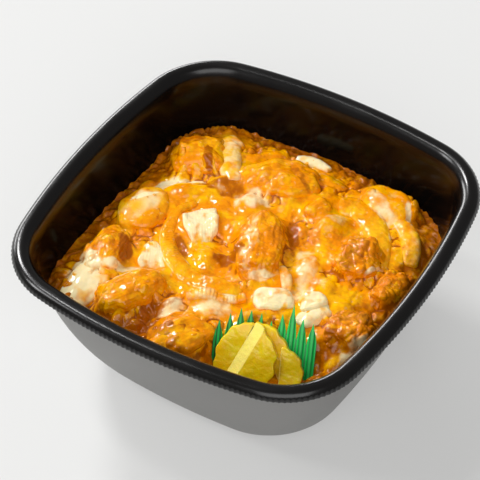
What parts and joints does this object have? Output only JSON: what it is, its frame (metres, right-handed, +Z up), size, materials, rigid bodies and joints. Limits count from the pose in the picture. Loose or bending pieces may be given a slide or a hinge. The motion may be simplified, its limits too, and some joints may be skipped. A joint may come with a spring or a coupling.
{
  "type": "bowl of oyakodon",
  "caption": "Square black takeaway bowl with round corners, filled with rice topped with half-set egg, chicken and onion, with yellow pickles before a green toothed divider.",
  "frame": {"origin": "middle of the bowl's flat underside, at the bottom centre of the whole part's box", "axes": "+Z up out of the bowl, +X and +Y across its two pairs of sides; the pickles and the divider lie in the corner between +X and -Y"},
  "size_m": [0.17, 0.17, 0.0712],
  "materials": {
    "bowl_plastic": "glossy black moulded plastic inside and on the rim, matte grey-black outside",
    "set_egg": "half-set egg in a glossy brown-orange sauce",
    "chicken": "simmered chicken, fibrous, wet with sauce",
    "onion": "soft translucent onion with fine ribs",
    "egg_white": "smooth set egg white, glossy",
    "pickled_radish": "wet yellow pickled radish with pale cut edges",
    "green_film": "thin green plastic film with pressed ridges"
  },
  "bodies": {
    "root": {"bowl": "bowl_plastic", "egg_heap": "set_egg", "leaf_divider": "green_film", "radish_slice_1": "pickled_radish", "radish_slice_2": "pickled_radish", "radish_slice_3": "pickled_radish", "radish_slice_4": "pickled_radish", "onion_fold": "onion", "onion_square": "onion", "onion_block_front": "onion", "onion_block_right": "onion", "onion_ring": "onion", "onion_column": "onion", "onion_sliver": "onion", "onion_crescent": "onion", "onion_curve_right": "onion", "onion_strip_back": "onion", "egg_strip": "set_egg", "egg_white_left": "egg_white", "egg_white_front_left": "egg_white", "egg_white_front_right": "egg_white", "chicken_back": "chicken", "chicken_back_left": "chicken", "chicken_centre": "chicken", "chicken_right": "chicken", "chicken_left": "chicken", "chicken_far_left": "chicken", "chicken_front_left": "chicken", "chicken_back_right": "chicken", "chicken_front_right": "chicken", "chicken_right_edge": "chicken", "chicken_bit": "chicken"}
  },
  "joints": []
}
